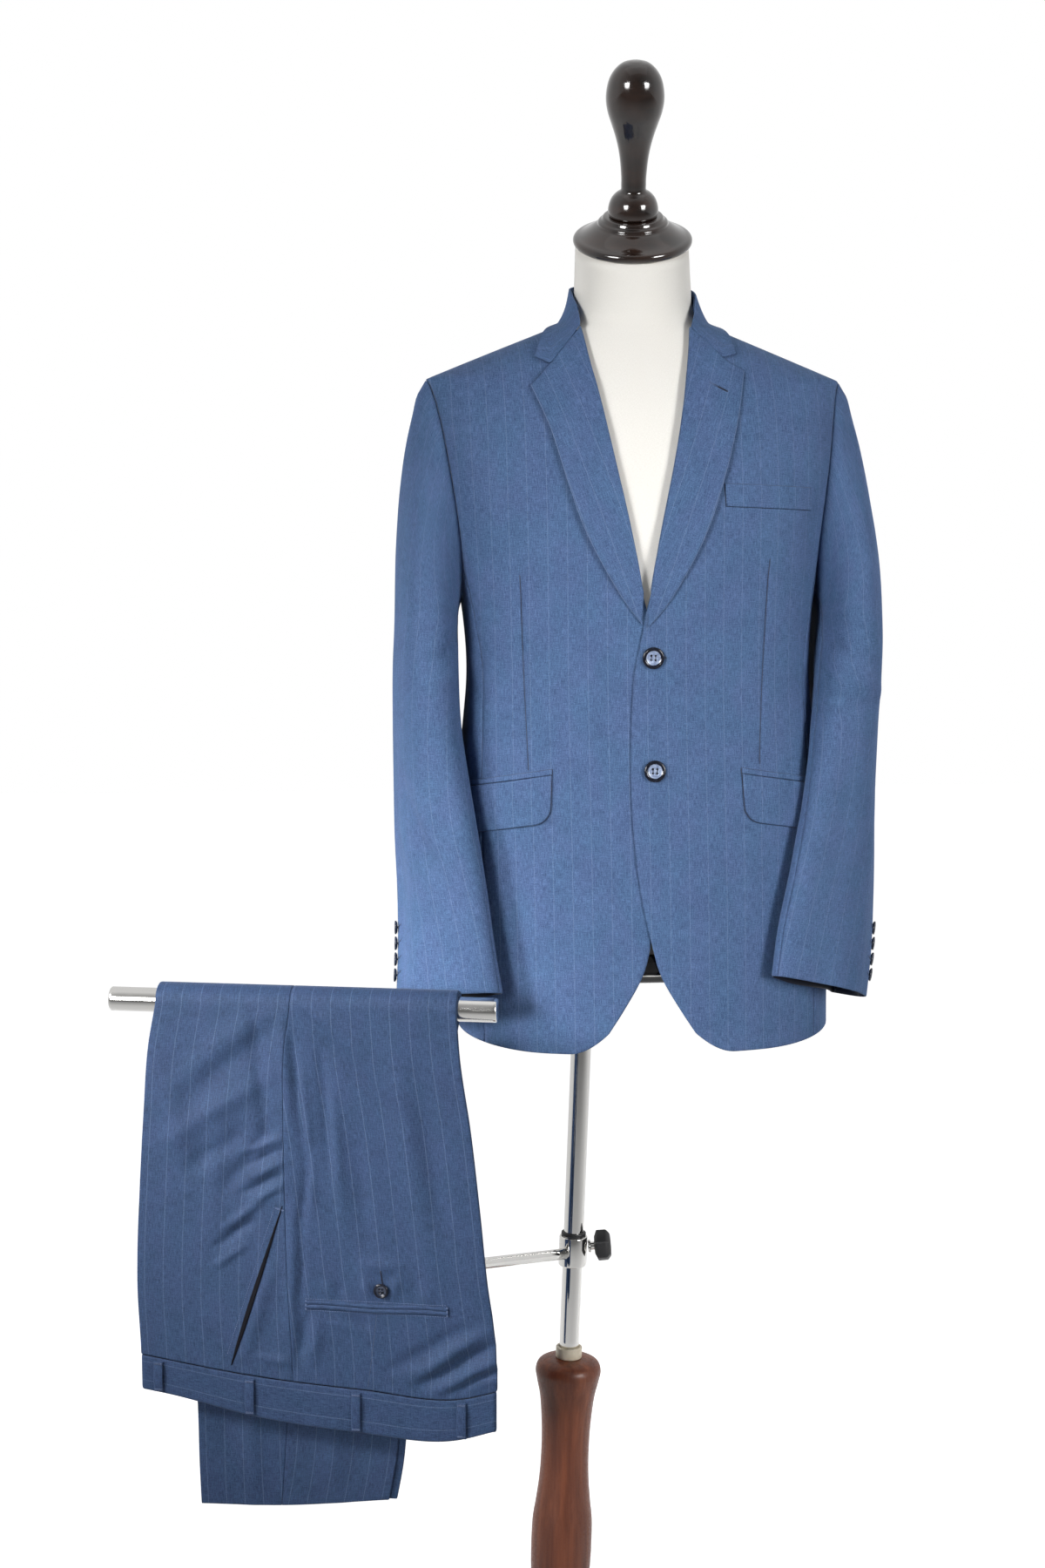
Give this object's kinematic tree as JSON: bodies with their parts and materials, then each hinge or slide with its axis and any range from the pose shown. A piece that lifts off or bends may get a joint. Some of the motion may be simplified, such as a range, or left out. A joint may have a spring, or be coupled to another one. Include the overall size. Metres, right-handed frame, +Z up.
{
  "type": "two-piece suit on a dress form with trouser bar",
  "caption": "Two-button pinstripe jacket on a limbless dress form with a turned neck knob, its matching trousers folded over the trouser bar of the same stand.",
  "frame": {"origin": "middle of the round base, on the floor", "axes": "+Z up, the suit faces -Y, +X is the wearer's left; the trouser bar reaches towards -X"},
  "size_m": [0.838, 0.3782, 1.8155],
  "materials": {
    "suit_cloth": "worsted wool, mid blue with a fine broken pale stripe",
    "pocket_black": "black pocketing, matte",
    "button_horn": "dark polished horn look",
    "form_linen": "cream cloth stretched over the form",
    "dark_lacquer": "turned wood under dark brown gloss lacquer",
    "gloss_black": "black gloss lacquer",
    "chrome": "polished",
    "black_plastic": "moulded, fine grain",
    "red_wood": "reddish brown, satin varnish",
    "ferrule_cream": "cream, satin"
  },
  "bodies": {
    "root": {"back_left": "suit_cloth", "back_pocket_button": "button_horn", "back_pocket_jets": "suit_cloth", "back_right": "suit_cloth", "bar_arm": "chrome", "base": "red_wood", "belt_loop_1": "suit_cloth", "belt_loop_2": "suit_cloth", "belt_loop_3": "suit_cloth", "belt_loop_4": "suit_cloth", "breast_welt": "suit_cloth", "clamp_collar": "chrome", "clamp_insert": "black_plastic", "clamp_knob": "black_plastic", "clamp_screw": "chrome", "collar": "suit_cloth", "collar_stand": "suit_cloth", "cuff_button_left_1": "button_horn", "cuff_button_left_2": "button_horn", "cuff_button_left_3": "button_horn", "cuff_button_left_4": "button_horn", "cuff_button_right_1": "button_horn", "cuff_button_right_2": "button_horn", "cuff_button_right_3": "button_horn", "cuff_button_right_4": "button_horn", "ferrule": "ferrule_cream", "finial": "dark_lacquer", "flap_left": "suit_cloth", "flap_right": "suit_cloth", "form_base_cap": "gloss_black", "form_torso": "form_linen", "front_button_1": "button_horn", "front_button_2": "button_horn", "front_left": "suit_cloth", "front_right": "suit_cloth", "lapel_left": "suit_cloth", "lapel_right": "suit_cloth", "neck_cap": "dark_lacquer", "pocket_welt_left": "suit_cloth", "pocket_welt_right": "suit_cloth", "pole": "chrome", "side_left": "suit_cloth", "side_right": "suit_cloth", "slant_pocket_lining": "pocket_black", "sleeve_top_left": "suit_cloth", "sleeve_top_right": "suit_cloth", "sleeve_under_left": "suit_cloth", "sleeve_under_right": "suit_cloth", "trouser_back_left": "suit_cloth", "trouser_back_right": "suit_cloth", "trouser_bar": "chrome", "trouser_front_left": "suit_cloth", "trouser_front_right": "suit_cloth", "waistband": "suit_cloth", "wood_column": "red_wood"}
  },
  "joints": []
}
